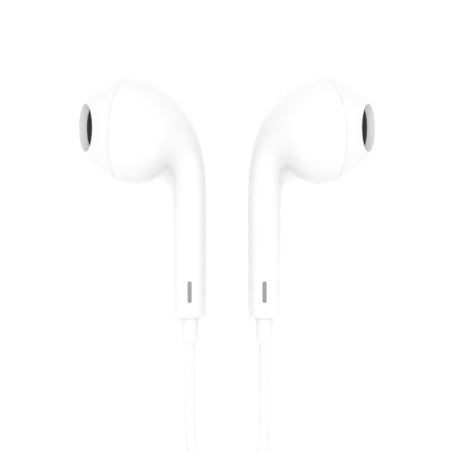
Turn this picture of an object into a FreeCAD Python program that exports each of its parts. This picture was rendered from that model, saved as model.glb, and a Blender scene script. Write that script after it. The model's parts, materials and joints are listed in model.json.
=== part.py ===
"""A pair of wired earphones: two moulded earpieces with dynamic drivers inside, their cords, an
in-line remote, a splitter and a 3.5 mm plug. All sizes are in millimetres.

The pair lies on its side on a flat surface, with the heads towards +Y and the cords towards -Y.
The origin is the middle of the two earpieces, on the surface. The left earpiece is modelled, and
the right one is its mirror image in the plane X = 0.
"""

import FreeCAD
import Part

import math
import os

Vec = FreeCAD.Vector

# ---- Driving dimensions --------------------------------------------------------------------
WALL = 1.0              # moulded shell thickness
STEM_X = -5.35          # stem axis, left earpiece
STEM_RADIUS = 2.3
STEM_TOP_Y = 3.0
STEM_END_Y = -15.0
STEM_END_Z = 2.36
STEM_SLOPE = math.radians(9.0)   # the stem leans down from the head to the surface
STEM_SECTIONS = (1.0, 0.75, 0.5, 0.25)   # places along the stem, as shares of its length from the end

NOSE_CENTRE = Vec(-20.07, 11.75, 10.85)
NOSE_TILT = math.radians(28.0)   # the sound opening faces up from the horizontal by this much
NOSE_HALF_LONG = 3.55            # half height and half width of the flat end of the nose
NOSE_HALF_WIDE = 2.20
NOSE_INSET_SHARE = 0.6           # the nose's flat end shrinks less than the skin behind it

SEAM_CENTRE = Vec(-14.43, 11.47, 7.80)
SEAM_TILT = math.radians(18.7)   # the driver axis points down from the horizontal by this much
SEAM_TWIST = math.radians(3.7)   # and is turned this much in plan
SEAM_GAP = 0.03                  # open line between the two head shells
TONGUE_INSET = 0.5
TONGUE_REACH = 0.9
LIP_NOSE_BACK, LIP_PAST_STEM = 1.0, 2.0
TONGUE_START = 0.05
TONGUE_ROOT = 0.2                # how far the tongue runs into the front shell that carries it
FIT_GAP = 0.03
FAR = 60.0                       # beyond the end of any piece, for cutting tools

CAP_OPENING = (3.45, 2.10)       # sound opening, half height and half width at the front
CAP_OPENING_BACK = (3.33, 1.98)
RING_THROAT = (2.92, 1.66)
RING_DEPTH = 1.0
RING_FRONT, RING_BACK = 0.05, 1.6
RING_LIP = 0.09                  # width of the ring's front edge, with its fit gap
MESH_SEAT = 1.1                  # depth of the step that the mesh lies on
MESH_RIM = 0.2                   # how far the mesh reaches under that step
MESH_GAP = 0.02
MESH_THICK = 0.2

DRIVER_RADIUS = 5.55
YOKE_RADIUS = 4.35
COIL_IN, COIL_OUT = 3.40, 3.65   # voice coil former
MAGNET_RADIUS, TOP_PLATE_RADIUS = 3.10, 3.18
MAGNET_BACK, MAGNET_FRONT, TOP_PLATE_FRONT = -3.78, -1.90, -1.20
YOKE_BACK, YOKE_FLOOR = -4.6, -3.8
YOKE_WALL = 0.4
BASKET_BACK, BASKET_FRONT = -2.3, 0.5
BASKET_WALL, BASKET_LEDGE = 0.4, 0.75
LEDGE_LEVEL = -0.42              # the surround's outer edge lies on this ledge

SLOT_Y = -11.28
SLOT_LENGTH, SLOT_WIDTH = 3.16, 0.58
SLOT_LOW, SLOT_HIGH = 0.5, 4.0   # heights above the stem's axis that the slot is cut between
VENT_TOP, VENT_BOTTOM = 0.12, 0.45   # depths of the vent cloth under the skin
VENT_GAP = 0.02
STEM_CAP_RADIUS = 1.75
STEM_CAP_DEPTH = 0.86
CORE_NOSE_BACK, CORE_PAST_STEM = 1.6, 3.0   # where the hollow begins, and how far it runs past the stem

EAR_CORD_RADIUS = 0.75
MAIN_CORD_RADIUS = 0.90
RELIEF_RADIUS = 1.15
RELIEF_LENGTH = 3.81

COIL_LIFT = 0.45                 # thickness of the strap that ties each coil
STRAP_WIDTH = 5.0
STRAP_GAP = 0.04
EAR_COIL = dict(centre=Vec(-10.6, -47, 0), outer=9.3, pitch=1.55, layers=2, layer_turns=1.5)
MAIN_COIL = dict(centre=Vec(-8.6, -108.5, 0), outer=12.1, pitch=1.82, layers=4, layer_turns=3.25)

REMOTE = Vec(11.4, -84, 0)     # middle of the remote, on the surface
REMOTE_LENGTH, REMOTE_WIDTH, REMOTE_HEIGHT = 30.0, 5.6, 3.6
REMOTE_WALL = 0.7
REMOTE_SPLIT = 0.03              # open line between the two remote shells
BOARD_WIDTH, BOARD_LENGTH, BOARD_THICK, BOARD_LEVEL = 3.4, 25.8, 0.5, 1.0
MEMBRANE_WIDTH, MEMBRANE_LENGTH, MEMBRANE_THICK, MEMBRANE_BACK = 3.0, 22.0, 0.14, -9.5
DOME_RADII = (1.3, 0.7)
DOME_HEIGHT = 0.5
BUTTON_STEP = 7.8
BUTTON_LENGTH, BUTTON_WIDTH = 6.4, 3.2
BUTTON_LOW, BUTTON_HIGH = 2.35, 3.85
BUTTON_GAP = 0.08
MICROPHONE_Y = -12.0
MICROPHONE_RADIUS = 0.65
SOUND_HOLE_RADIUS = 0.35
CORD_HOLE_RADIUS = 0.95

SPLITTER = Vec(-5.5, -124.3, 1.6)
SPLITTER_LENGTH, SPLITTER_WIDTH, SPLITTER_HEIGHT = 8.0, 5.2, 3.2

PLUG_BACK = Vec(-19.0, -92, 3.0)
PLUG_TURN = math.radians(7.0)    # the plug lies turned outwards, so that its pin points clear of the coils
PLUG_RELIEF = 7.0
PLUG_RELIEF_BACK, PLUG_RELIEF_FRONT = 1.25, 2.05   # radii of the tapered strain relief
PLUG_RELIEF_BURIED = 1.5
PLUG_HOUSING = 14.0
PLUG_HOUSING_RADIUS = 3.0
PIN_RADIUS = 1.75
PIN_LENGTH = 14.0
PIN_CORE_RADIUS = 0.9
PIN_BURIED = 2.98                # how far the sleeve's shank goes into the housing
SHANK_RADIUS = 1.3               # the sleeve is necked inside the housing
BAND_GAP = 0.6                   # insulating ring between two contacts
SEAT_GAP = 0.01                  # between pieces that are assembled face to face

RING_POLES = 12                  # control points round each section of the head
RING_SCALE = 3.0 / (2.0 + math.cos(2 * math.pi / RING_POLES))

parts = {}


# ---- Small helpers -------------------------------------------------------------------------
def unit(v):
    return Vec(v).normalize()


NOSE_AXIS = Vec(-math.cos(NOSE_TILT), 0, math.sin(NOSE_TILT))
NOSE_ACROSS = Vec(math.sin(NOSE_TILT), 0, math.cos(NOSE_TILT))
DRIVER_AXIS = unit(Vec(-math.cos(SEAM_TILT) * math.cos(SEAM_TWIST),
                       math.cos(SEAM_TILT) * math.sin(SEAM_TWIST),
                       -math.sin(SEAM_TILT)))
STEM_DOWN = Vec(0, -math.cos(STEM_SLOPE), -math.sin(STEM_SLOPE))
STEM_FACE = Vec(0, -math.sin(STEM_SLOPE), math.cos(STEM_SLOPE))
STEM_END = Vec(STEM_X, STEM_END_Y, STEM_END_Z)


def turned(shape, base, axis):
    """The shape, built about +Z at the origin, moved to base with its +Z along axis."""
    moved = shape.copy()
    moved.Placement = FreeCAD.Placement(Vec(base), FreeCAD.Rotation(Vec(0, 0, 1), Vec(axis)))
    return moved


def disc(radius, low, high):
    """A cylinder about +Z between two heights."""
    return Part.makeCylinder(radius, high - low, Vec(0, 0, low))


def tube(outer, inner, low, high):
    return disc(outer, low, high).cut(disc(inner, low - 1, high + 1))


def softened(shape, radius):
    """The shape with its circular edges rounded off."""
    return shape.makeFillet(radius, [e for e in shape.Edges if e.isClosed()])


def revolved(profile):
    """A solid of revolution about Z from (radius, height) points."""
    points = [Vec(r, 0, h) for r, h in profile]
    face = Part.Face(Part.makePolygon(points + points[:1]))
    return face.revolve(Vec(0, 0, 0), Vec(0, 0, 1), 360)


def rounded_box(length, width, height, corner, centre):
    """A box with vertical edges rounded, centred in plan on centre and standing on its height."""
    box = Part.makeBox(length, width, height, centre - Vec(length / 2, width / 2, 0))
    upright = [e for e in box.Edges if abs(e.tangentAt(e.FirstParameter).z) > 0.9]
    return box.makeFillet(corner, upright)


def mirrored(shape):
    return shape.mirror(Vec(0, 0, 0), Vec(1, 0, 0))


def both_sides(name, shape):
    parts["left_" + name] = shape
    parts["right_" + name] = mirrored(shape)


# ---- Head and stem skin --------------------------------------------------------------------
# Each head section: the points where it meets the outer (back and top) and the inner (front and
# under) outline in plan, the height of those points, and its highest and lowest points as (x, z).
HEAD_SECTIONS = [
    ((-19.25, 16.22), (-19.35, 7.30), 9.9, (-18.55, 13.65), (-20.72, 6.55)),
    ((-18.05, 17.15), (-18.15, 6.06), 9.0, (-17.95, 14.30), (-19.75, 4.40)),
    ((-16.35, 18.17), (-16.75, 4.98), 8.3, (-17.20, 14.85), (-17.40, 1.95)),
    ((-14.00, 18.93), (-14.95, 4.06), 7.8, (-15.75, 15.40), (-13.80, 0.28)),
    ((-10.95, 18.37), (-12.60, 3.80), 7.4, (-13.20, 15.45), (-10.80, 0.10)),
    ((-8.20, 16.52), (-10.75, 4.42), 7.0, (-10.10, 14.35), (-8.75, 0.95)),
    ((-5.95, 14.10), (-9.55, 5.32), 6.7, (-8.00, 12.35), (-7.65, 1.75)),
    ((-4.50, 11.50), (-8.80, 6.00), 6.5, (-6.75, 10.65), (-6.75, 2.35)),
    ((-3.72, 8.95), (-8.28, 6.17), 6.2, (-6.00, 9.45), (-6.00, 2.80)),
    ((-3.33, 6.80), (-7.86, 5.80), 5.9, (-5.60, 8.65), (-5.60, 3.05)),
]


def section_poles(centre, across, up, down):
    """Control points round an oval section. Up and down are its half heights as vectors."""
    poles = []
    for j in range(RING_POLES):
        angle = 2 * math.pi * j / RING_POLES
        rise = math.sin(angle)
        height = up * rise if rise >= 0 else down * -rise
        poles.append(centre + (across * math.cos(angle) + height) * RING_SCALE)
    return poles


def shorter(vector, by):
    """The vector, made shorter by that length."""
    return vector * ((vector.Length - by) / vector.Length)


def skin_sections(inset, nose_back, stem_extra):
    """Control points of every section from the nose to the stem's end, for a skin that lies
    inset inside the outer one, begins nose_back behind the nose and runs past the stem's end."""
    rings = [section_poles(NOSE_CENTRE - NOSE_AXIS * nose_back,
                           Vec(0, NOSE_HALF_LONG - inset * NOSE_INSET_SHARE, 0),
                           NOSE_ACROSS * (NOSE_HALF_WIDE - inset * NOSE_INSET_SHARE),
                           NOSE_ACROSS * -(NOSE_HALF_WIDE - inset * NOSE_INSET_SHARE))]
    for outer, inner, side_z, high, low in HEAD_SECTIONS:
        centre = Vec((outer[0] + inner[0]) / 2, (outer[1] + inner[1]) / 2, side_z)
        across = Vec((outer[0] - inner[0]) / 2, (outer[1] - inner[1]) / 2, 0)
        up = Vec(high[0] - centre.x, 0, high[1] - side_z)
        down = Vec(low[0] - centre.x, 0, low[1] - side_z)
        rings.append(section_poles(centre, shorter(across, inset),
                                   shorter(up, inset), shorter(down, inset)))
    radius = STEM_RADIUS - inset
    length = (STEM_TOP_Y - STEM_END_Y) / math.cos(STEM_SLOPE)
    places = [length * share for share in STEM_SECTIONS] + [-stem_extra]
    for along in places:
        rings.append(section_poles(STEM_END - STEM_DOWN * along, Vec(radius, 0, 0),
                                   STEM_FACE * radius, STEM_FACE * -radius))
    return rings


def skin_solid(inset=0.0, nose_back=0.0, stem_extra=0.0):
    """The closed head and stem skin: one smooth surface through all the sections, with flat ends."""
    rings = skin_sections(inset, nose_back, stem_extra)
    places = [0.0]
    for ring, following in zip(rings, rings[1:]):
        step = sum((p - q).Length for p, q in zip(ring, following)) / RING_POLES
        places.append(places[-1] + math.sqrt(step))
    rows = []
    for j in range(RING_POLES):
        curve = Part.BSplineCurve()
        curve.interpolate(Points=[ring[j] for ring in rings], Parameters=places)
        rows.append(curve)
    poles = [[rows[j].getPole(i + 1) for j in range(RING_POLES)] for i in range(rows[0].NbPoles)]
    surface = Part.BSplineSurface()
    surface.buildFromPolesMultsKnots(
        poles, rows[0].getMultiplicities(), [1] * (RING_POLES + 1),
        rows[0].getKnots(), [float(k) for k in range(RING_POLES + 1)],
        False, True, 3, 3)
    side = surface.toShape()
    rims = [e for e in side.Edges if e.isClosed() and not e.isSeam(side.Faces[0])]
    ends = [Part.Face(Part.Wire([e])) for e in rims]
    solid = Part.makeSolid(Part.makeShell([side] + ends))
    solid.fix(1e-4, 1e-4, 1e-3)
    return solid


def slab(low, high):
    """A wide disc across the driver axis between two places along it."""
    return turned(disc(FAR, low, high), SEAM_CENTRE, DRIVER_AXIS)


def on_driver(shape):
    return turned(shape, SEAM_CENTRE, DRIVER_AXIS)


def ellipse_wire(half_long, half_wide, depth):
    """An ellipse across the nose axis, that far behind the flat end of the nose."""
    centre = NOSE_CENTRE - NOSE_AXIS * depth
    ellipse = Part.Ellipse(centre + Vec(0, half_long, 0), centre + NOSE_ACROSS * half_wide, centre)
    return Part.Wire([ellipse.toShape()])


def oval(front, back, low, high):
    """A solid oval plug along the nose axis, from one pair of half sizes to another."""
    return Part.makeLoft([ellipse_wire(*front, low), ellipse_wire(*back, high)], True, True)


# ---- Housing ------------------------------------------------------------------------------
def slot_tool(shrink, low, high):
    """The stem's slot as an upright prism with round ends, seen square to the stem."""
    across = SLOT_WIDTH / 2 - shrink
    along = SLOT_LENGTH / 2 - SLOT_WIDTH / 2
    box = Part.makeBox(2 * across, 2 * along, high - low, Vec(-across, -along, low))
    for end in (-along, along):
        box = box.fuse(Part.makeCylinder(across, high - low, Vec(0, end, low)))
    on_axis = STEM_END - STEM_DOWN * ((SLOT_Y - STEM_END_Y) / math.cos(STEM_SLOPE))
    placed = box.removeSplitter()
    placed.Placement = FreeCAD.Placement(on_axis, FreeCAD.Rotation(Vec(1, 0, 0), math.degrees(STEM_SLOPE)))
    return placed


def housing():
    skin = skin_solid()
    core = skin_solid(WALL, CORE_NOSE_BACK, CORE_PAST_STEM)
    lip = skin_solid(TONGUE_INSET + FIT_GAP, LIP_NOSE_BACK, LIP_PAST_STEM)
    rebate = skin_solid(TONGUE_INSET, LIP_NOSE_BACK, LIP_PAST_STEM)
    shell = skin.cut(core)
    half_gap = SEAM_GAP / 2
    rear = shell.common(slab(-FAR, -half_gap))
    rear = rear.cut(rebate.common(slab(-TONGUE_REACH, 1)))
    rear = rear.cut(slot_tool(0, SLOT_LOW, SLOT_HIGH))
    seat = turned(disc(STEM_CAP_RADIUS + FIT_GAP, -0.9, 1), STEM_END, STEM_DOWN)
    rear = rear.cut(seat)
    tongue = lip.cut(core).common(slab(TONGUE_START - TONGUE_REACH, half_gap + TONGUE_ROOT))
    front = shell.common(slab(half_gap, FAR)).fuse(tongue)
    front = front.cut(oval(CAP_OPENING, CAP_OPENING_BACK, -0.5, 1.7))
    both_sides("rear_housing", rear)
    both_sides("front_cap", front.removeSplitter())
    layer = skin_solid(VENT_TOP, 0, LIP_PAST_STEM).cut(skin_solid(VENT_BOTTOM, 0, LIP_PAST_STEM))
    vent = slot_tool(VENT_GAP, SLOT_LOW, SLOT_HIGH).common(layer)
    both_sides("stem_vent", vent)
    return skin_solid(WALL + 2 * FIT_GAP, CORE_NOSE_BACK, CORE_PAST_STEM)


def smaller(size, by):
    return (size[0] - by, size[1] - by)


def nozzle():
    ring = oval(smaller(CAP_OPENING, FIT_GAP), smaller(CAP_OPENING_BACK, FIT_GAP), RING_FRONT, RING_BACK)
    ring = ring.cut(oval(smaller(CAP_OPENING, RING_LIP), RING_THROAT, 0.0, RING_DEPTH))
    ring = ring.cut(oval(RING_THROAT, RING_THROAT, RING_DEPTH - SEAT_GAP, MESH_SEAT))
    seat = smaller(RING_THROAT, -MESH_RIM)
    ring = ring.cut(oval(seat, seat, MESH_SEAT, RING_BACK + MESH_RIM))
    both_sides("nozzle_ring", ring)
    mesh = smaller(seat, MESH_GAP)
    front = MESH_SEAT + MESH_GAP
    both_sides("nozzle_mesh", oval(mesh, mesh, front, front + MESH_THICK))


def stem_end():
    cap = tube(STEM_CAP_RADIUS, RELIEF_RADIUS + 0.02, -STEM_CAP_DEPTH, 0.0)
    both_sides("stem_cap", turned(cap, STEM_END, STEM_DOWN))
    relief = disc(RELIEF_RADIUS, -1.5, RELIEF_LENGTH)
    both_sides("strain_relief", turned(relief, STEM_END, STEM_DOWN))


# ---- Driver -------------------------------------------------------------------------------
def arched(outer_points, thick):
    """A thin domed ring or disc: revolved between an arc through three points and its copy below."""
    top = [Vec(r, 0, h) for r, h in outer_points]
    low = [p - Vec(0, 0, thick) for p in top]
    edges = [Part.Arc(*top).toShape(), Part.makeLine(top[2], low[2]),
             Part.Arc(low[2], low[1], low[0]).toShape(), Part.makeLine(low[0], top[0])]
    return Part.Face(Part.Wire(edges)).revolve(Vec(), Vec(0, 0, 1), 360)


def driver(core):
    hole = YOKE_RADIUS + FIT_GAP + SEAT_GAP
    wall = DRIVER_RADIUS - BASKET_WALL
    ledge = DRIVER_RADIUS - BASKET_LEDGE
    basket = revolved([(hole, BASKET_BACK), (DRIVER_RADIUS, BASKET_BACK), (DRIVER_RADIUS, BASKET_FRONT),
                       (wall, BASKET_FRONT), (wall, LEDGE_LEVEL), (ledge, LEDGE_LEVEL),
                       (ledge, BASKET_BACK + BASKET_WALL), (hole, BASKET_BACK + BASKET_WALL)])
    inside = YOKE_RADIUS - YOKE_WALL
    yoke = revolved([(0, YOKE_BACK), (YOKE_RADIUS, YOKE_BACK), (YOKE_RADIUS, TOP_PLATE_FRONT),
                     (inside, TOP_PLATE_FRONT), (inside, YOKE_FLOOR), (0, YOKE_FLOOR)])
    flange = core.common(slab(-1.65, -TONGUE_REACH - 0.05))
    flange = flange.cut(on_driver(disc(DRIVER_RADIUS - 0.1, -3, 0)))
    both_sides("driver_basket", on_driver(basket).fuse(flange).removeSplitter())
    both_sides("driver_yoke", on_driver(yoke))
    both_sides("driver_magnet", on_driver(disc(MAGNET_RADIUS, MAGNET_BACK, MAGNET_FRONT)))
    top_plate = disc(TOP_PLATE_RADIUS, MAGNET_FRONT + 0.02, TOP_PLATE_FRONT)
    both_sides("driver_top_plate", on_driver(top_plate))
    both_sides("surround", on_driver(arched([(3.78, -0.32), (4.45, 0.08), (5.12, -0.32)], 0.09)))
    dome = arched([(3.3, -0.25), (1.75, 0.1), (0.0, 0.2)], 0.08)
    rim = tube(3.7, 3.25, -0.35, -0.25)
    both_sides("diaphragm", on_driver(dome.fuse(rim).removeSplitter()))
    both_sides("voice_coil", on_driver(tube(COIL_OUT, COIL_IN, -2.25, -0.37)))


# ---- Cords --------------------------------------------------------------------------------
def cord_tube(name, points, radius):
    """A round cord through the route's points: straight runs joined by tangent arcs."""
    path = []
    here = points[0]
    radii = []
    for before, corner, after in zip(points, points[1:], points[2:]):
        run_in = corner - before
        run_out = after - corner
        turn = run_in.getAngle(run_out)
        cut = 0.45 * min(run_in.Length, run_out.Length)
        radii.append(cut / math.tan(turn / 2))
        start = corner - unit(run_in) * cut
        end = corner + unit(run_out) * cut
        bisector = unit(unit(run_out) - unit(run_in))
        reach = radii[-1] / math.cos(turn / 2) - radii[-1]
        path.append(Part.LineSegment(here, start).toShape())
        path.append(Part.Arc(start, corner + bisector * reach, end).toShape())
        here = end
    path.append(Part.LineSegment(here, points[-1]).toShape())
    spine = Part.Wire(path)
    section = Part.Wire([Part.Circle(points[0], points[1] - points[0], radius).toShape()])
    solid = spine.makePipeShell([section], True, False)
    print(name, "length %.1f" % spine.Length, "radii", [round(r, 1) for r in radii],
          "volume over section x length %.4f" % (solid.Volume / (math.pi * radius ** 2 * spine.Length)))
    parts[name] = solid
    return spine.Length


def coil_solid(centre, outer, pitch, layers, layer_turns, radius):
    """The outer shape of a wound coil: layers of turns, resting on its tie strap."""
    inner = outer - pitch * layer_turns
    height = 2 * radius * layers
    ring = tube(outer + radius, inner - radius, COIL_LIFT, COIL_LIFT + height)
    ring = softened(ring, 0.6)
    ring.translate(centre)
    turns = layers * layer_turns
    print("coil length %.1f" % (turns * math.pi * (outer + inner)))
    return ring


def strap(name, coil, angle, radius, outer, pitch, layers, layer_turns, centre):
    """A hook-and-loop tie round the coil's bundle at one place."""
    inner = outer - pitch * layer_turns
    wide = outer - inner + 2 * radius
    height = 2 * radius * layers
    start = inner - radius
    hole = Part.makeBox(wide + 2 * STRAP_GAP, 2 * STRAP_WIDTH, height + 2 * STRAP_GAP,
                        Vec(start - STRAP_GAP, -STRAP_WIDTH, COIL_LIFT - STRAP_GAP))
    band = Part.makeBox(wide + 2 * COIL_LIFT, STRAP_WIDTH, height + 2 * COIL_LIFT,
                        Vec(start - COIL_LIFT, -STRAP_WIDTH / 2, 0.0))
    long_edges = [e for e in band.Edges if abs(e.tangentAt(e.FirstParameter).y) > 0.9]
    band = band.makeFillet(0.35, long_edges)
    band = band.cut(hole)
    band.rotate(Vec(), Vec(0, 0, 1), angle)
    band.translate(centre)
    parts[name] = band.cut(coil)


LEFT_UPPER = [STEM_END + STEM_DOWN * RELIEF_LENGTH, Vec(-5.35, -25.0, 0.78), Vec(-5.35, -35.5, 0.78),
              Vec(-1.35, -42.5, 1.2), Vec(-1.3, -47, 1.2)]
LEFT_LOWER = [Vec(-1.3, -47, 2.7), Vec(-1.2, -53, 2.4), Vec(1.2, -61, 1.1), Vec(5.2, -70, 0.80),
              Vec(6.0, -83, 0.80), Vec(5.8, -96, 0.85), Vec(6.4, -109, 0.9), Vec(6.3, -119.5, 1.2),
              Vec(2.7, -123.1, 1.5), Vec(-1.5, -123.1, 1.6)]
RIGHT_MIDDLE = [Vec(4.0, -53.6, 2.7), Vec(8.4, -58.0, 2.4), Vec(11.2, -61.6, 2.0), Vec(11.4, -65, 1.8)]
RIGHT_LOWER = [Vec(11.4, -103, 1.8), Vec(12.0, -110, 1.3), Vec(9.6, -118.4, 1.0),
               Vec(3.6, -125.4, 1.4), Vec(-1.5, -125.5, 1.6)]
MAIN_START = [Vec(-9.5, -124.3, 1.6), Vec(-15.6, -124.2, 1.45), Vec(-20.0, -119.8, 1.35),
              Vec(-20.8, -113.8, 1.35), Vec(-20.7, -108.5, 1.35)]
MAIN_END = [Vec(-20.7, -108.5, 6.75), Vec(-20.6, -103.3, 6.2), Vec(-19.7, -98.6, 4.4),
            Vec(-18.61, -95.18, 3.2), PLUG_BACK]


def cords():
    left = coil_solid(radius=EAR_CORD_RADIUS, **EAR_COIL)
    right = mirrored(left)
    main = coil_solid(radius=MAIN_CORD_RADIUS, **MAIN_COIL)
    strap("left_cord_tie", left, 180, EAR_CORD_RADIUS, **EAR_COIL)
    parts["right_cord_tie"] = mirrored(parts["left_cord_tie"])
    strap("main_cord_tie", main, 70, MAIN_CORD_RADIUS, **MAIN_COIL)
    parts["left_cord_coil"] = left
    parts["right_cord_coil"] = right
    parts["main_cord_coil"] = main
    flip = [Vec(-p.x, p.y, p.z) for p in LEFT_UPPER]
    cord_tube("left_cord_upper", LEFT_UPPER, EAR_CORD_RADIUS)
    cord_tube("right_cord_upper", flip, EAR_CORD_RADIUS)
    cord_tube("left_cord_lower", LEFT_LOWER, EAR_CORD_RADIUS)
    cord_tube("right_cord_middle", RIGHT_MIDDLE, EAR_CORD_RADIUS)
    cord_tube("right_cord_lower", RIGHT_LOWER, EAR_CORD_RADIUS)
    cord_tube("main_cord_start", MAIN_START, MAIN_CORD_RADIUS)
    cord_tube("main_cord_end", MAIN_END, MAIN_CORD_RADIUS)


# ---- Remote -------------------------------------------------------------------------------
def pill(length, width, low, high, corner, centre):
    """A flat block with round ends along Y and softened top and bottom edges."""
    body = Part.makeBox(width, length - width, high - low, Vec(-width / 2, -(length - width) / 2, low))
    for end in (-1, 1):
        body = body.fuse(disc(width / 2, low, high).translated(Vec(0, end * (length - width) / 2, 0)))
    body = body.removeSplitter()
    if corner:
        level = [e for e in body.Edges if e.BoundBox.ZLength < 1e-6]
        body = body.makeFillet(corner, level)
    return body.translated(centre)


def remote_cord_end(shell, end):
    """The shell with its cord hole at one end, and the tapered strain relief that fills the hole."""
    mouth = REMOTE + Vec(0, end * REMOTE_LENGTH / 2, REMOTE_HEIGHT / 2)
    root = disc(CORD_HOLE_RADIUS - FIT_GAP, -1.2, 0.05)
    taper = Part.makeCone(1.3, CORD_HOLE_RADIUS, RELIEF_LENGTH - 0.02).translated(Vec(0, 0, 0.02))
    name = "remote_relief_" + ("upper" if end > 0 else "lower")
    parts[name] = turned(root.fuse(taper).removeSplitter(), mouth, Vec(0, end, 0))
    return shell.cut(turned(disc(CORD_HOLE_RADIUS, -2, 2), mouth, Vec(0, 1, 0)))


def remote_shell():
    body = pill(REMOTE_LENGTH, REMOTE_WIDTH, 0, REMOTE_HEIGHT, 1.2, REMOTE)
    room = pill(REMOTE_LENGTH - 2 * REMOTE_WALL, REMOTE_WIDTH - 2 * REMOTE_WALL, REMOTE_WALL,
                REMOTE_HEIGHT - REMOTE_WALL, 0, REMOTE)
    shell = body.cut(room)
    for end in (-1, 1):
        shell = remote_cord_end(shell, end)
    return shell


def remote():
    shell = remote_shell()
    middle = REMOTE_HEIGHT / 2
    half = Part.makeBox(20, 60, 20, REMOTE + Vec(-10, -30, 0))
    front = shell.common(half.translated(Vec(0, 0, middle + REMOTE_SPLIT)))
    board = Part.makeBox(BOARD_WIDTH, BOARD_LENGTH, BOARD_THICK,
                         REMOTE + Vec(-BOARD_WIDTH / 2, -BOARD_LENGTH / 2, BOARD_LEVEL))
    on_board = BOARD_LEVEL + BOARD_THICK
    switches = Part.makeBox(MEMBRANE_WIDTH, MEMBRANE_LENGTH, MEMBRANE_THICK,
                            REMOTE + Vec(-MEMBRANE_WIDTH / 2, MEMBRANE_BACK, on_board + 0.02))
    for k, name in enumerate(("volume_down", "centre", "volume_up")):
        place = REMOTE + Vec(0, (k - 1) * BUTTON_STEP, 0)
        hole = pill(BUTTON_LENGTH + 2 * BUTTON_GAP, BUTTON_WIDTH + 2 * BUTTON_GAP, 2.5, 5, 0, place)
        front = front.cut(hole)
        cap = pill(BUTTON_LENGTH, BUTTON_WIDTH, BUTTON_LOW, BUTTON_HIGH, 0, place)
        rim = [e for e in cap.Edges if e.BoundBox.ZMin > BUTTON_HIGH - 0.01]
        parts[name + "_button"] = cap.makeFillet(0.25, rim)
        dome = Part.makeCone(*DOME_RADII, DOME_HEIGHT).translated(place + Vec(0, 0, on_board))
        switches = switches.fuse(dome)
    sound_place = REMOTE + Vec(0, MICROPHONE_Y, 0)
    parts["remote_front_shell"] = front.cut(disc(SOUND_HOLE_RADIUS, 2.5, 5).translated(sound_place))
    parts["remote_back_shell"] = shell.common(half.translated(Vec(0, 0, middle - 20)))
    parts["remote_board"] = board
    parts["switch_membrane"] = switches.cut(board).removeSplitter()
    parts["microphone"] = disc(MICROPHONE_RADIUS, on_board + 0.02, 2.4).translated(sound_place)


def splitter():
    body = rounded_box(SPLITTER_LENGTH, SPLITTER_WIDTH, SPLITTER_HEIGHT, 1.2,
                       SPLITTER - Vec(0, 0, SPLITTER_HEIGHT / 2))
    level = [e for e in body.Edges if e.BoundBox.ZLength < 1e-6]
    parts["splitter"] = body.makeFillet(0.7, level)


# ---- Plug ---------------------------------------------------------------------------------
def on_plug(shape):
    """The shape, built about +Z from the back of the strain relief, moved to where the plug lies."""
    return turned(shape, PLUG_BACK, Vec(-math.sin(PLUG_TURN), math.cos(PLUG_TURN), 0))


def pin_contacts(face):
    """The pin from the housing's front face: a sleeve and two rings on one insulator, then the tip."""
    buried = face - PIN_BURIED
    starts = (0.0, 4.2, 7.4)
    ends = (3.6, 6.8, 9.6)
    core = disc(PIN_CORE_RADIUS, buried, face + ends[-1] + BAND_GAP)
    for name, start, end in zip(("plug_sleeve", "plug_ring_back", "plug_ring_front"), starts, ends):
        band = tube(PIN_RADIUS, PIN_CORE_RADIUS + SEAT_GAP, face + start, face + end)
        if start == 0.0:
            shank = tube(SHANK_RADIUS, PIN_CORE_RADIUS + SEAT_GAP, buried, face)
            band = band.fuse(shank).removeSplitter()
        parts[name] = on_plug(band)
        core = core.fuse(disc(PIN_RADIUS, face + end + SEAT_GAP, face + end + BAND_GAP - SEAT_GAP))
    parts["plug_insulator"] = on_plug(core.removeSplitter())
    back = face + ends[-1] + BAND_GAP + SEAT_GAP
    front = face + PIN_LENGTH
    parts["plug_tip"] = on_plug(revolved([
        (0, back), (1.6, back), (1.15, back + 0.9), (1.15, back + 1.3), (1.6, back + 2.2),
        (1.55, back + 2.7), (0.5, front), (0, front)]))


def plug():
    relief = Part.makeCone(PLUG_RELIEF_BACK, PLUG_RELIEF_FRONT, PLUG_RELIEF + PLUG_RELIEF_BURIED)
    face = PLUG_RELIEF + PLUG_HOUSING
    housing = softened(disc(PLUG_HOUSING_RADIUS, PLUG_RELIEF, face), 0.8)
    socket = disc(PLUG_RELIEF_FRONT + 0.07, PLUG_RELIEF - 1, PLUG_RELIEF + PLUG_RELIEF_BURIED + 0.02)
    housing = housing.cut(socket)
    housing = housing.cut(disc(SHANK_RADIUS + 0.02, face - PIN_BURIED - 0.02, face + 1))
    parts["plug_relief"] = on_plug(relief)
    parts["plug_housing"] = on_plug(housing)
    pin_contacts(face)


def write_all():
    os.makedirs("parts", exist_ok=True)
    for name, shape in sorted(parts.items()):
        solids = shape.Solids
        note = "" if len(solids) == 1 and shape.isValid() else "  <-- %d solids, valid %s" % (
            len(solids), shape.isValid())
        print("%-24s %9.2f mm3%s" % (name, shape.Volume, note))
        (solids[0] if len(solids) == 1 else shape).exportStep("parts/%s.step" % name)


driver(housing())
nozzle()
stem_end()
cords()
remote()
splitter()
plug()
write_all()
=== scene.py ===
# Wired earphones lying on a pale table: two stemmed earpieces, cords, remote, splitter and plug.
import json
import math

import bpy
from mathutils import Matrix, Vector


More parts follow.
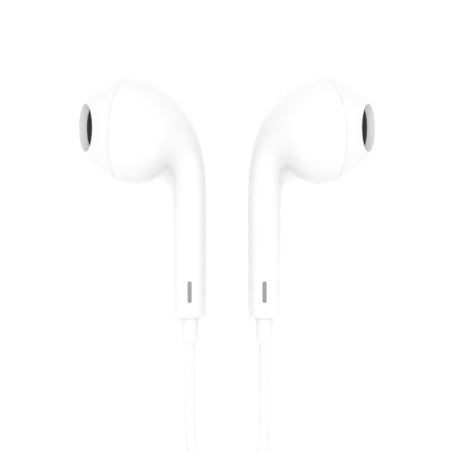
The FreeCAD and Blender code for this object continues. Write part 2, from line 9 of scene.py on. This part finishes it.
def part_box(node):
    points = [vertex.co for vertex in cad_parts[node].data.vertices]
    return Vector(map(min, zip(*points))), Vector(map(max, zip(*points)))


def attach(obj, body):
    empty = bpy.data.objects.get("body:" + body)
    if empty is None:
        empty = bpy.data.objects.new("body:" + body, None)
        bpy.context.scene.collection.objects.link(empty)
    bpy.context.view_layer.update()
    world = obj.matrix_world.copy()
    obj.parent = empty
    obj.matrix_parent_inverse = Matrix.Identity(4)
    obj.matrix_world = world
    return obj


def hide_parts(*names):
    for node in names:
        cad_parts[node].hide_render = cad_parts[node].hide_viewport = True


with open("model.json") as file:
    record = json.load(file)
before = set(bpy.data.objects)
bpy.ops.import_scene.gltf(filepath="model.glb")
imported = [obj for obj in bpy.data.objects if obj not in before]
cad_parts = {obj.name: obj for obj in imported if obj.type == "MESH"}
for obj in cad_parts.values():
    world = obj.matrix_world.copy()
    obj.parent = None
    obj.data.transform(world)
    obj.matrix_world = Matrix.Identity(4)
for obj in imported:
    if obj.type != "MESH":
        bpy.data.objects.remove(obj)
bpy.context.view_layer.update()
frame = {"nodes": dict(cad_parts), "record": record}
print("frame loaded with", len(frame["nodes"]), "nodes")

mm = 0.001


def newMaterial(name):
    material = bpy.data.materials.new(name)
    material.use_nodes = True
    nodes = material.node_tree.nodes
    nodes.clear()
    shader = nodes.new("ShaderNodeBsdfPrincipled")
    output = nodes.new("ShaderNodeOutputMaterial")
    material.node_tree.links.new(shader.outputs["BSDF"], output.inputs["Surface"])
    return material, shader


def addNode(tree, kind, **settings):
    node = tree.nodes.new(kind)
    for key, value in settings.items():
        setattr(node, key, value)
    return node


def mathNode(tree, operation, first, second=None):
    # first and second are either sockets to link or plain numbers
    node = addNode(tree, "ShaderNodeMath", operation=operation)
    for socket, value in zip(node.inputs, (first, second)):
        if isinstance(value, bpy.types.NodeSocket):
            tree.links.new(value, socket)
        elif value is not None:
            socket.default_value = value
    return node.outputs["Value"]


def newGroup(name, kind, inputs, outputs):
    tree = bpy.data.node_groups.new(name, kind)
    for label, socketKind, default in inputs:
        socket = tree.interface.new_socket(label, in_out="INPUT", socket_type=socketKind)
        if default is not None:
            socket.default_value = default
    for label, socketKind in outputs:
        tree.interface.new_socket(label, in_out="OUTPUT", socket_type=socketKind)
    return tree, tree.nodes.new("NodeGroupInput"), tree.nodes.new("NodeGroupOutput")


# moulded plastic: a faint cloud of tone and a fine, uneven polish
polish = {"finest": 2600.0, "tintLow": 0.975, "tintHigh": 1.015, "uneven": 0.1, "depth": 0.01 * mm,
          "cloudDetail": 3, "fineDetail": 4, "coatRoughness": 0.06}


def makeMouldedGroup():
    tree, start, end = newGroup(
        "Moulded plastic", "ShaderNodeTree",
        [("Tone", "NodeSocketColor", (0.8, 0.8, 0.8, 1)), ("Roughness", "NodeSocketFloat", 0.2),
         ("Cloud size", "NodeSocketFloat", 300.0), ("Ripple", "NodeSocketFloat", 0.02)],
        [("Color", "NodeSocketColor"), ("Roughness", "NodeSocketFloat"), ("Normal", "NodeSocketVector")])
    link = tree.links.new
    place = addNode(tree, "ShaderNodeTexCoord")
    cloud = addNode(tree, "ShaderNodeTexNoise")
    cloud.inputs["Detail"].default_value = polish["cloudDetail"]
    link(place.outputs["Object"], cloud.inputs["Vector"])
    link(start.outputs["Cloud size"], cloud.inputs["Scale"])
    shade = addNode(tree, "ShaderNodeMapRange")
    shade.inputs["To Min"].default_value = polish["tintLow"]
    shade.inputs["To Max"].default_value = polish["tintHigh"]
    link(cloud.outputs["Fac"], shade.inputs["Value"])
    tint = addNode(tree, "ShaderNodeVectorMath", operation="SCALE")
    link(start.outputs["Tone"], tint.inputs[0])
    link(shade.outputs["Result"], tint.inputs["Scale"])
    link(tint.outputs["Vector"], end.inputs["Color"])
    fine = addNode(tree, "ShaderNodeTexNoise")
    fine.inputs["Scale"].default_value = polish["finest"]
    fine.inputs["Detail"].default_value = polish["fineDetail"]
    link(place.outputs["Object"], fine.inputs["Vector"])
    uneven = mathNode(tree, "MULTIPLY", fine.outputs["Fac"], polish["uneven"])
    rough = mathNode(tree, "ADD", start.outputs["Roughness"], uneven)
    link(rough, end.inputs["Roughness"])
    bump = addNode(tree, "ShaderNodeBump")
    bump.inputs["Distance"].default_value = polish["depth"]
    link(start.outputs["Ripple"], bump.inputs["Strength"])
    link(fine.outputs["Fac"], bump.inputs["Height"])
    link(bump.outputs["Normal"], end.inputs["Normal"])
    return tree


# handling marks: sparse dust specks and soft smears, as a mask
handling = {"smearSize": 220, "speckReach": 0.08, "smearShare": 0.3}


def makeHandlingGroup():
    tree, start, end = newGroup(
        "Handling marks", "ShaderNodeTree",
        [("Speck size", "NodeSocketFloat", 1500.0), ("Amount", "NodeSocketFloat", 0.05)],
        [("Mask", "NodeSocketFloat")])
    place = addNode(tree, "ShaderNodeTexCoord")
    specks = addNode(tree, "ShaderNodeTexVoronoi")
    smear = addNode(tree, "ShaderNodeTexNoise")
    smear.inputs["Scale"].default_value = handling["smearSize"]
    for node in (specks, smear):
        tree.links.new(place.outputs["Object"], node.inputs["Vector"])
    tree.links.new(start.outputs["Speck size"], specks.inputs["Scale"])
    speck = mathNode(tree, "LESS_THAN", specks.outputs["Distance"], handling["speckReach"])
    smears = mathNode(tree, "MULTIPLY", smear.outputs["Fac"], handling["smearShare"])
    both = mathNode(tree, "ADD", speck, smears)
    tree.links.new(mathNode(tree, "MULTIPLY", both, start.outputs["Amount"]), end.inputs["Mask"])
    return tree


# two crossing sets of round threads: their height, and the holes between them
holeLevel = -0.1       # where both threads lie lower than this, there is a hole
threadStrength = 0.6   # how strongly the threads stand out in the bump


def makeWeaveGroup():
    tree, start, end = newGroup(
        "Woven threads", "ShaderNodeTree",
        [("Vector", "NodeSocketVector", None), ("Threads per metre", "NodeSocketFloat", 5000.0)],
        [("Height", "NodeSocketFloat"), ("Holes", "NodeSocketFloat")])
    split = addNode(tree, "ShaderNodeSeparateXYZ")
    tree.links.new(start.outputs["Vector"], split.inputs["Vector"])
    waves = []
    for axis in ("X", "Y"):
        turn = mathNode(tree, "MULTIPLY", split.outputs[axis], start.outputs["Threads per metre"])
        waves.append(mathNode(tree, "SINE", mathNode(tree, "MULTIPLY", turn, math.tau)))
    top = mathNode(tree, "MAXIMUM", waves[0], waves[1])
    tree.links.new(top, end.inputs["Height"])
    tree.links.new(mathNode(tree, "LESS_THAN", top, holeLevel), end.inputs["Holes"])
    return tree


mouldedGroup = makeMouldedGroup()
handlingGroup = makeHandlingGroup()
weaveGroup = makeWeaveGroup()


def mouldedMaterial(name, tone, roughness=0.2, cloudSize=300.0, ripple=0.02, coat=0.0, metallic=0.0,
                    gloss=0.3, handled=0.04):
    material, shader = newMaterial(name)
    tree = material.node_tree
    group = addNode(tree, "ShaderNodeGroup", node_tree=mouldedGroup)
    group.inputs["Tone"].default_value = (*tone, 1)
    group.inputs["Roughness"].default_value = roughness
    group.inputs["Cloud size"].default_value = cloudSize
    group.inputs["Ripple"].default_value = ripple
    marks = addNode(tree, "ShaderNodeGroup", node_tree=handlingGroup)
    marks.inputs["Amount"].default_value = handled
    dulled = mathNode(tree, "ADD", group.outputs["Roughness"], marks.outputs["Mask"])
    tree.links.new(group.outputs["Color"], shader.inputs["Base Color"])
    tree.links.new(dulled, shader.inputs["Roughness"])
    tree.links.new(group.outputs["Normal"], shader.inputs["Normal"])
    shader.inputs["Metallic"].default_value = metallic
    shader.inputs["Coat Weight"].default_value = coat
    shader.inputs["Coat Roughness"].default_value = polish["coatRoughness"]
    shader.inputs["Specular IOR Level"].default_value = gloss
    return material


# the gap colour fills the holes between the threads: painted shade, darker than the threads
def wovenMaterial(name, tone, gap, threads, roughness=0.5, depth=0.03 * mm, vectorFrom="Object", sheen=0.0):
    material, shader = newMaterial(name)
    tree = material.node_tree
    place = addNode(tree, "ShaderNodeTexCoord")
    group = addNode(tree, "ShaderNodeGroup", node_tree=weaveGroup)
    group.inputs["Threads per metre"].default_value = threads
    tree.links.new(place.outputs[vectorFrom], group.inputs["Vector"])
    mix = addNode(tree, "ShaderNodeMix", data_type="RGBA")   # its colour sockets are 6, 7 and, out, 2
    mix.inputs[6].default_value = (*tone, 1)
    # painted shade: the holes take the darker gap colour
    mix.inputs[7].default_value = (*gap, 1)
    tree.links.new(group.outputs["Holes"], mix.inputs[0])
    tree.links.new(mix.outputs[2], shader.inputs["Base Color"])
    bump = addNode(tree, "ShaderNodeBump")
    bump.inputs["Distance"].default_value = depth
    bump.inputs["Strength"].default_value = threadStrength
    tree.links.new(group.outputs["Height"], bump.inputs["Height"])
    tree.links.new(bump.outputs["Normal"], shader.inputs["Normal"])
    shader.inputs["Roughness"].default_value = roughness
    shader.inputs["Sheen Weight"].default_value = sheen
    return material


shellFinish = {"tone": 0.735, "roughness": 0.25, "coat": 0.05, "gloss": 0.2}
whiteShell = mouldedMaterial("White gloss shell", (shellFinish["tone"],) * 3, shellFinish["roughness"],
                             coat=shellFinish["coat"], gloss=shellFinish["gloss"])
softWhite = mouldedMaterial("Soft white elastomer", (0.74, 0.74, 0.738), 0.42, ripple=0.1)
jacket = mouldedMaterial("Cord jacket", (0.74, 0.74, 0.74), 0.36, cloudSize=500, ripple=0.15)
ringGrey = mouldedMaterial("Grey nozzle ring", (0.6, 0.6, 0.6), 0.4)
# the second colour of each woven cloth is painted shade in the holes between its threads
meshBlack = wovenMaterial("Acoustic cloth", (0.02, 0.02, 0.021), (0.008, 0.008, 0.008), 6500)
wireBlack = mouldedMaterial("Blackened wire", (0.035, 0.035, 0.037), 0.45, metallic=0.3)
ventGrey = wovenMaterial("Grey vent cloth", (0.3, 0.3, 0.3), (0.16, 0.16, 0.16), 5000)
strapGrey = wovenMaterial("Strap weave", (0.46, 0.46, 0.47), (0.36, 0.36, 0.365), 4200, 0.85, depth=0.06 * mm,
                          vectorFrom="UV", sheen=0.3)
frameBlack = mouldedMaterial("Driver frame", (0.05, 0.05, 0.055), 0.5)
plated = mouldedMaterial("Plated steel", (0.62, 0.62, 0.63), 0.24, metallic=1.0)
magnetSteel = mouldedMaterial("Nickel magnet", (0.7, 0.7, 0.71), 0.16, metallic=1.0)
film = mouldedMaterial("Driver film", (0.62, 0.58, 0.46), 0.25, coat=0.4)
copper = mouldedMaterial("Copper wire", (0.72, 0.36, 0.2), 0.3, metallic=1.0)
boardGreen = mouldedMaterial("Circuit board", (0.02, 0.12, 0.05), 0.4)
greyRubber = mouldedMaterial("Grey membrane", (0.25, 0.25, 0.25), 0.6)
contact = mouldedMaterial("Plug contact", (0.82, 0.8, 0.77), 0.14, metallic=1.0)
printGrey = mouldedMaterial("Pad-printed mark", (0.28, 0.28, 0.285), 0.5)

finishes = {"white_shell": whiteShell, "soft_white": softWhite, "cord_jacket": jacket,
            "nozzle_ring": ringGrey, "dark_mesh": meshBlack, "vent_mesh": ventGrey,
            "grey_strap": strapGrey, "driver_plastic": frameBlack, "driver_steel": plated,
            "magnet": magnetSteel, "film": film, "copper": copper, "board": boardGreen,
            "membrane": greyRubber, "contact": contact}
slotOf = {part["node"]: part["material_slot"] for part in frame["record"]["subparts"]}
for node in frame["nodes"]:
    body = bpy.data.objects[node]
    body.data.materials.clear()
    body.data.materials.append(finishes[slotOf[node]])
print("materials made")


# a long lens looking straight down
cameraSet = {"lens": 500, "sensor": 36, "halfView": 32.16 * mm, "aim": (-0.15 * mm, -2.19 * mm, 8 * mm),
             "nearest": 0.01, "furthest": 10}


def makeCamera():
    data = bpy.data.cameras.new("camera")
    data.sensor_width = cameraSet["sensor"]
    data.lens = cameraSet["lens"]
    data.clip_start = cameraSet["nearest"]
    data.clip_end = cameraSet["furthest"]
    camera = bpy.data.objects.new("camera", data)
    distance = cameraSet["halfView"] * data.lens / (data.sensor_width / 2)
    camera.location = Vector(cameraSet["aim"]) + Vector((0, 0, distance))
    bpy.context.scene.collection.objects.link(camera)
    bpy.context.scene.camera = camera


makeCamera()

earCord = {"diameter": 1.5 * mm, "coilOuter": 9.3 * mm, "pitch": 1.55 * mm, "layers": 2, "layerTurns": 1.5,
           "lift": 0.45 * mm}
mainCord = {"diameter": 1.8 * mm, "coilOuter": 12.1 * mm, "pitch": 1.82 * mm, "layers": 4,
            "layerTurns": 3.25, "lift": 0.45 * mm}
coilPoints = 20   # control points in each turn
crossOver = 0.4   # turns taken to climb from one layer to the next


def coilTurns(centre, startAngle, turnWay, turns, cord):
    # the turns spiral inwards on one layer and outwards on the next
    radius = cord["diameter"] / 2
    swell = 2 / (1 + math.cos(math.pi / coilPoints))
    points = []
    for k in range(round(turns * coilPoints) + 1):
        done = k / coilPoints
        layer = min(int(done / cord["layerTurns"]), cord["layers"] - 1)
        part = done - layer * cord["layerTurns"]
        inwards = part if layer % 2 == 0 else cord["layerTurns"] - part
        reach = (cord["coilOuter"] - cord["pitch"] * inwards) * swell
        nearest = round(done / cord["layerTurns"])
        past = (done - nearest * cord["layerTurns"]) / crossOver
        level = nearest - 0.5 + max(-0.5, min(0.5, past)) if 0 < nearest < cord["layers"] else layer
        angle = startAngle + turnWay * done * math.tau
        points.append((centre[0] + reach * math.cos(angle), centre[1] + reach * math.sin(angle),
                       cord["lift"] + radius + level * cord["diameter"]))
    return points


def cordCurve(name, points, cord):
    curve = bpy.data.curves.new(name, "CURVE")
    curve.dimensions = "3D"
    curve.bevel_depth = cord["diameter"] / 2
    curve.bevel_resolution = 6
    curve.use_fill_caps = True
    spline = curve.splines.new("NURBS")
    spline.points.add(len(points) - 1)
    for point, place in zip(spline.points, points):
        point.co = (*place, 1)
    spline.order_u = 3
    spline.use_endpoint_u = True
    spline.resolution_u = 8
    piece = bpy.data.objects.new(name, curve)
    bpy.context.scene.collection.objects.link(piece)
    curve.materials.append(jacket)
    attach(piece, "earphones")
    return piece


def mirroredPoints(points):
    return [(-x, y, z) for x, y, z in points]


leftUpper = [(-0.00535, -0.018763, 0.001764), (-0.00535, -0.0250, 0.00078), (-0.00535, -0.0355, 0.00078),
             (-0.00135, -0.0425, 0.0012)]
leftLower = [(-0.0012, -0.0530, 0.0024), (0.0012, -0.0610, 0.0011), (0.0052, -0.0700, 0.0008),
             (0.0060, -0.0830, 0.0008), (0.0058, -0.0960, 0.00085), (0.0064, -0.1090, 0.0009),
             (0.0063, -0.1195, 0.0012), (0.0027, -0.1231, 0.0015), (-0.0015, -0.1231, 0.0016)]
rightMiddle = [(0.0084, -0.0580, 0.0024), (0.0112, -0.0616, 0.0020), (0.0114, -0.0650, 0.0018)]
rightLower = [(0.0114, -0.1030, 0.0018), (0.0120, -0.1100, 0.0013), (0.0096, -0.1184, 0.0010),
              (0.0036, -0.1254, 0.0014), (-0.0015, -0.1255, 0.0016)]
mainStart = [(-0.0095, -0.1243, 0.0016), (-0.0156, -0.1242, 0.00145), (-0.0200, -0.1198, 0.00135),
             (-0.0208, -0.1138, 0.00135)]
mainEnd = [(-0.0206, -0.1033, 0.0062), (-0.0197, -0.0986, 0.0044), (-0.01861, -0.09518, 0.0032),
           (-0.0190, -0.0920, 0.0030)]
leftCentre = (-0.0106, -0.0470)
rightCentre = (0.0106, -0.0470)
mainCentre = (-0.0086, -0.1085)
leftCoil = coilTurns(leftCentre, 0, -1, 3.0, earCord)
rightCoil = coilTurns(rightCentre, math.pi, 1, 3.125, earCord)
mainCoil = coilTurns(mainCentre, math.pi, -1, 13, mainCord)

leftLine = leftUpper + leftCoil + leftLower
rightLine = mirroredPoints(leftUpper) + rightCoil + rightMiddle
mainLine = mainStart + mainCoil + mainEnd
leftCord = cordCurve("left_cord", leftLine, earCord)
rightCord = cordCurve("right_cord", rightLine, earCord)
lowerCord = cordCurve("right_cord_below_remote", rightLower, earCord)
longCord = cordCurve("main_cord", mainLine, mainCord)
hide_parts("left_cord_upper", "left_cord_coil", "left_cord_lower")
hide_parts("right_cord_upper", "right_cord_coil", "right_cord_middle")
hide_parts("right_cord_lower")
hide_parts("main_cord_start", "main_cord_coil", "main_cord_end")


def finishMesh(name, mesh, material, bodyName):
    mesh.materials.clear()
    mesh.materials.append(material)
    piece = bpy.data.objects.new(name, mesh)
    bpy.context.scene.collection.objects.link(piece)
    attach(piece, bodyName)
    return piece


def bakedMesh(obj):
    view = bpy.context.evaluated_depsgraph_get()
    mesh = bpy.data.meshes.new_from_object(obj.evaluated_get(view))
    bpy.data.objects.remove(obj)
    for face in mesh.polygons:
        face.use_smooth = True
    return mesh


# fabric ties: a woven band once round the bundle, its end lapped over its start
strapSize = {"width": 5.0 * mm, "thick": 0.36 * mm, "gap": 0.05 * mm, "corner": 0.5 * mm, "lap": 0.3,
             "cornerSteps": 5, "acrossSteps": 8, "bevel": 0.08 * mm, "lapRise": 1.05}


def strapLoop(cord):
    # points round the bundle in its own radius and height, from the middle of the top
    inner = cord["coilOuter"] - cord["pitch"] * cord["layerTurns"] - cord["diameter"] / 2
    outer = cord["coilOuter"] + cord["diameter"] / 2
    stand = strapSize["gap"] + strapSize["thick"] / 2
    low = cord["lift"] - stand
    high = cord["lift"] + cord["diameter"] * cord["layers"] + stand
    left = inner - stand
    right = outer + stand
    corner = strapSize["corner"]
    centres = [(right - corner, high - corner, 90), (right - corner, low + corner, 0),
               (left + corner, low + corner, -90), (left + corner, high - corner, -180)]
    loop = [((left + right) / 2, high)]
    for x, z, first in centres:
        for k in range(strapSize["cornerSteps"] + 1):
            angle = math.radians(first - 90 * k / strapSize["cornerSteps"])
            loop.append((x + corner * math.cos(angle), z + corner * math.sin(angle)))
    return loop, (left + right) / 2, right - corner, high


def makeStrap(name, node, tie, cord):
    loop, middle, edge, high = strapLoop(cord)
    lapEnd = middle + (edge - middle) * 2 * strapSize["lap"]
    rise = strapSize["thick"] * strapSize["lapRise"]
    loop = loop + [(middle - (middle - loop[-1][0]) * 0.5, high + rise * 0.5), (middle, high + rise),
                   (lapEnd, high + rise)]
    turn = Matrix.Rotation(math.radians(tie["angle"]), 3, "Z")
    centre = Vector((*tie["centre"], 0))
    steps = strapSize["acrossSteps"]
    points = []
    places = [0.0]
    for a, b in zip(loop, loop[1:]):
        places.append(places[-1] + math.dist(a, b))
    for x, z in loop:
        for j in range(steps + 1):
            across = (j / steps - 0.5) * strapSize["width"]
            points.append(turn @ Vector((x, across, z)) + centre)
    faces = [(i * (steps + 1) + j, i * (steps + 1) + j + 1, (i + 1) * (steps + 1) + j + 1,
              (i + 1) * (steps + 1) + j) for i in range(len(loop) - 1) for j in range(steps)]
    mesh = bpy.data.meshes.new(name + "_sheet")
    mesh.from_pydata(points, [], faces)
    layer = mesh.uv_layers.new(name="UVMap")
    for corner in mesh.loops:
        row, column = divmod(corner.vertex_index, steps + 1)
        layer.data[corner.index].uv = (places[row], column / steps * strapSize["width"])
    sheet = bpy.data.objects.new(name + "_sheet", mesh)
    bpy.context.scene.collection.objects.link(sheet)
    thicken = sheet.modifiers.new("Thickness", "SOLIDIFY")
    thicken.thickness = strapSize["thick"]
    thicken.offset = 0
    softEdge = sheet.modifiers.new("Soft edge", "BEVEL")
    softEdge.width = strapSize["bevel"]
    softEdge.segments = 2
    piece = finishMesh(name, bakedMesh(sheet), strapGrey, "earphones")
    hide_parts(node)
    return piece


straps = [("left_strap", "left_cord_tie", {"centre": leftCentre, "angle": 180}, earCord),
          ("right_strap", "right_cord_tie", {"centre": rightCentre, "angle": 0}, earCord),
          ("main_strap", "main_cord_tie", {"centre": mainCentre, "angle": 70}, mainCord)]
pieces = {name: makeStrap(name, tieNode, tie, cord) for name, tieNode, tie, cord in straps}
print("straps made")

print("cords laid")


# woven wire across each sound opening, in front of the acoustic cloth
nozzleWire = {"centre": (-20.07 * mm, 11.75 * mm, 10.85 * mm), "tilt": 28, "depth": 1.04 * mm,
              "halfLong": 2.86 * mm, "halfWide": 1.60 * mm, "pitch": 0.17 * mm, "wireRadius": 0.03 * mm,
              "stepShare": 0.34, "wireSides": 5}


def vectorNode(tree, x=0.0, y=0.0, z=0.0):
    node = addNode(tree, "ShaderNodeCombineXYZ")
    for socket, value in zip(node.inputs, (x, y, z)):
        if isinstance(value, bpy.types.NodeSocket):
            tree.links.new(value, socket)
        else:
            socket.default_value = value
    return node.outputs["Vector"]


def wireSolid(tree, curve, wireRadius):
    profile = addNode(tree, "GeometryNodeCurvePrimitiveCircle", mode="RADIUS")
    profile.inputs["Resolution"].default_value = nozzleWire["wireSides"]
    tree.links.new(wireRadius, profile.inputs["Radius"])
    solid = addNode(tree, "GeometryNodeCurveToMesh")
    solid.inputs["Fill Caps"].default_value = True
    tree.links.new(curve, solid.inputs["Curve"])
    tree.links.new(profile.outputs["Curve"], solid.inputs["Profile Curve"])
    return solid.outputs["Mesh"]


def placeSplit(tree):
    position = addNode(tree, "GeometryNodeInputPosition")
    split = addNode(tree, "ShaderNodeSeparateXYZ")
    tree.links.new(position.outputs["Position"], split.inputs["Vector"])
    return split


def straightWires(tree, across, along, pitch, reach):
    # parallel wires across an oval, each as long as the oval is there
    link = tree.links.new
    row = addNode(tree, "GeometryNodeMeshLine", mode="END_POINTS", count_mode="RESOLUTION")
    link(vectorNode(tree, mathNode(tree, "MULTIPLY", reach, -1.0)), row.inputs["Start Location"])
    link(vectorNode(tree, reach), row.inputs["Offset"])
    link(pitch, row.inputs["Resolution"])
    wire = addNode(tree, "GeometryNodeCurvePrimitiveLine")
    wire.inputs["Start"].default_value = (0, -1, 0)
    wire.inputs["End"].default_value = (0, 1, 0)
    share = mathNode(tree, "DIVIDE", placeSplit(tree).outputs["X"], across)
    chord = mathNode(tree, "SQRT", mathNode(tree, "SUBTRACT", 1.0, mathNode(tree, "MULTIPLY", share, share)))
    spread = addNode(tree, "GeometryNodeInstanceOnPoints")
    link(row.outputs["Mesh"], spread.inputs["Points"])
    link(wire.outputs["Curve"], spread.inputs["Instance"])
    link(vectorNode(tree, 1.0, mathNode(tree, "MULTIPLY", chord, along), 1.0), spread.inputs["Scale"])
    real = addNode(tree, "GeometryNodeRealizeInstances")
    link(spread.outputs["Instances"], real.inputs["Geometry"])
    return real.outputs["Geometry"]


def waveHeight(tree, reach, pitch, swing):
    # one half wave to each crossing, the other way up on every second wire
    split = placeSplit(tree)
    alongWire = mathNode(tree, "MULTIPLY", mathNode(tree, "DIVIDE", split.outputs["Y"], pitch), math.pi)
    fromFirst = mathNode(tree, "DIVIDE", mathNode(tree, "ADD", split.outputs["X"], reach), pitch)
    flip = mathNode(tree, "COSINE", mathNode(tree, "MULTIPLY", fromFirst, math.pi))
    wave = mathNode(tree, "MULTIPLY", mathNode(tree, "SINE", alongWire), flip)
    return mathNode(tree, "MULTIPLY", wave, swing)


def addWireSet(tree, start, swapped):
    # one direction of the cloth, waved over and under the other
    link = tree.links.new
    across = start.outputs["Half long" if swapped else "Half wide"]
    along = start.outputs["Half wide" if swapped else "Half long"]
    pitch = start.outputs["Pitch"]
    reach = mathNode(tree, "SUBTRACT", across, mathNode(tree, "MULTIPLY", pitch, 0.5))
    finer = addNode(tree, "GeometryNodeResampleCurve", mode="LENGTH")
    link(straightWires(tree, across, along, pitch, reach), finer.inputs["Curve"])
    link(mathNode(tree, "MULTIPLY", pitch, nozzleWire["stepShare"]), finer.inputs["Length"])
    swing = mathNode(tree, "MULTIPLY", start.outputs["Wire radius"], -1.0 if swapped else 1.0)
    waved = addNode(tree, "GeometryNodeSetPosition")
    link(finer.outputs["Curve"], waved.inputs["Geometry"])
    link(vectorNode(tree, 0.0, 0.0, waveHeight(tree, reach, pitch, swing)), waved.inputs["Offset"])
    mesh = wireSolid(tree, waved.outputs["Geometry"], start.outputs["Wire radius"])
    if not swapped:
        return mesh
    turned = addNode(tree, "GeometryNodeTransform")
    turned.inputs["Rotation"].default_value = (0, 0, math.pi / 2)
    link(mesh, turned.inputs["Geometry"])
    return turned.outputs["Geometry"]


def makeWireTree():
    tree, start, end = newGroup(
        "Woven wire", "GeometryNodeTree",
        [("Geometry", "NodeSocketGeometry", None), ("Half long", "NodeSocketFloat", 0.003),
         ("Half wide", "NodeSocketFloat", 0.002), ("Pitch", "NodeSocketFloat", 0.0002),
         ("Wire radius", "NodeSocketFloat", 0.00003)],
        [("Geometry", "NodeSocketGeometry")])
    join = addNode(tree, "GeometryNodeJoinGeometry")
    for swapped in (False, True):
        tree.links.new(addWireSet(tree, start, swapped), join.inputs["Geometry"])
    real = addNode(tree, "GeometryNodeRealizeInstances")
    tree.links.new(join.outputs["Geometry"], real.inputs["Geometry"])
    painted = addNode(tree, "GeometryNodeSetMaterial")
    painted.inputs["Material"].default_value = wireBlack
    tree.links.new(real.outputs["Geometry"], painted.inputs["Geometry"])
    tree.links.new(painted.outputs["Geometry"], end.inputs["Geometry"])
    return tree


def nozzlePlace(side):
    # across the opening, along its long way, and out of the opening
    tilt = math.radians(nozzleWire["tilt"])
    outwards = Vector((side * math.cos(tilt), 0, math.sin(tilt)))
    along = Vector((0, 1, 0))
    x, y, z = nozzleWire["centre"]
    place = Vector((-side * x, y, z)) - outwards * nozzleWire["depth"]
    return Matrix.Translation(place) @ Matrix((along.cross(outwards), along, outwards)).transposed().to_4x4()


def makeNozzleWires():
    tree = makeWireTree()
    sockets = {item.name: item.identifier for item in tree.interface.items_tree if item.in_out == "INPUT"}
    for name, side in (("left_nozzle_wire", -1), ("right_nozzle_wire", 1)):
        host = bpy.data.objects.new(name + "_host", bpy.data.meshes.new(name + "_host"))
        bpy.context.scene.collection.objects.link(host)
        weave = host.modifiers.new("Woven wire", "NODES")
        weave.node_group = tree
        weave[sockets["Half long"]] = nozzleWire["halfLong"]
        weave[sockets["Half wide"]] = nozzleWire["halfWide"]
        weave[sockets["Pitch"]] = nozzleWire["pitch"]
        weave[sockets["Wire radius"]] = nozzleWire["wireRadius"]
        mesh = bakedMesh(host)
        mesh.transform(nozzlePlace(side))
        finishMesh(name, mesh, wireBlack, "earphones")
        print(name, len(mesh.polygons), "faces")


makeNozzleWires()
print("nozzle wires woven")


# printed plus and minus on the outer two buttons
markSize = {"arm": 0.7 * mm, "stroke": 0.09 * mm, "thick": 0.02 * mm, "edge": 0.006 * mm}


def markBar(centre, halfX, halfY, low, high):
    x, y = centre
    e = markSize["edge"]
    rings = [(halfX, halfY, low), (halfX, halfY, high - e), (halfX - e, halfY - e, high)]
    points = [(x + sx * hx, y + sy * hy, z) for hx, hy, z in rings
              for sx, sy in ((-1, -1), (1, -1), (1, 1), (-1, 1))]
    sides = [(r * 4 + k, r * 4 + (k + 1) % 4, r * 4 + 4 + (k + 1) % 4, r * 4 + 4 + k)
             for r in (0, 1) for k in range(4)]
    return points, [(3, 2, 1, 0), (8, 9, 10, 11)] + sides


def makeMark(name, button, bodyName, upright):
    low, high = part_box(button)
    centre = ((low[0] + high[0]) / 2, (low[1] + high[1]) / 2)
    arm, stroke, edge = markSize["arm"], markSize["stroke"], markSize["edge"]
    top = high[2]
    bars = [(centre, arm, stroke)]
    if upright:
        reach = (arm - stroke) / 2
        bars += [((centre[0], centre[1] + way * (stroke + reach)), stroke, reach) for way in (-1, 1)]
    points = []
    faces = []
    for middle, halfX, halfY in bars:
        barPoints, barFaces = markBar(middle, halfX, halfY, top - edge, top + markSize["thick"])
        faces += [tuple(v + len(points) for v in face) for face in barFaces]
        points += barPoints
    mesh = bpy.data.meshes.new(name)
    mesh.from_pydata(points, [], faces)
    finishMesh(name, mesh, printGrey, bodyName)


makeMark("plus_mark", "volume_up_button", "volume_up_key", True)
makeMark("minus_mark", "volume_down_button", "volume_down_key", False)
print("button marks printed")


table = {"half": 3.0, "tone": 0.97}
studio = {"room": 0.94, "overheadHeight": 1.1, "overheadSize": 1.0, "overheadPower": 7.1}


def makeTable():
    half = table["half"]
    mesh = bpy.data.meshes.new("table")
    mesh.from_pydata([(-half, -half, 0), (half, -half, 0), (half, half, 0), (-half, half, 0)], [],
                     [(0, 1, 2, 3)])
    top = bpy.data.objects.new("table", mesh)
    bpy.context.scene.collection.objects.link(top)
    mesh.materials.append(mouldedMaterial("Pale table", (table["tone"],) * 3, 0.7, cloudSize=8, ripple=0.0))


def makeOverhead():
    data = bpy.data.lights.new("overhead", "AREA")
    data.shape = "DISK"
    data.size = studio["overheadSize"]
    data.energy = studio["overheadPower"]
    light = bpy.data.objects.new("overhead", data)
    light.location = (0, 0, studio["overheadHeight"])
    bpy.context.scene.collection.objects.link(light)


def makeRoom():
    world = bpy.data.worlds.new("Soft white room")
    world.use_nodes = True
    background = world.node_tree.nodes["Background"]
    background.inputs["Color"].default_value = (1, 1, 1, 1)
    background.inputs["Strength"].default_value = studio["room"]
    bpy.context.scene.world = world


makeTable()
makeRoom()
makeOverhead()
bpy.context.scene.view_settings.view_transform = "Standard"

print("scene ready")
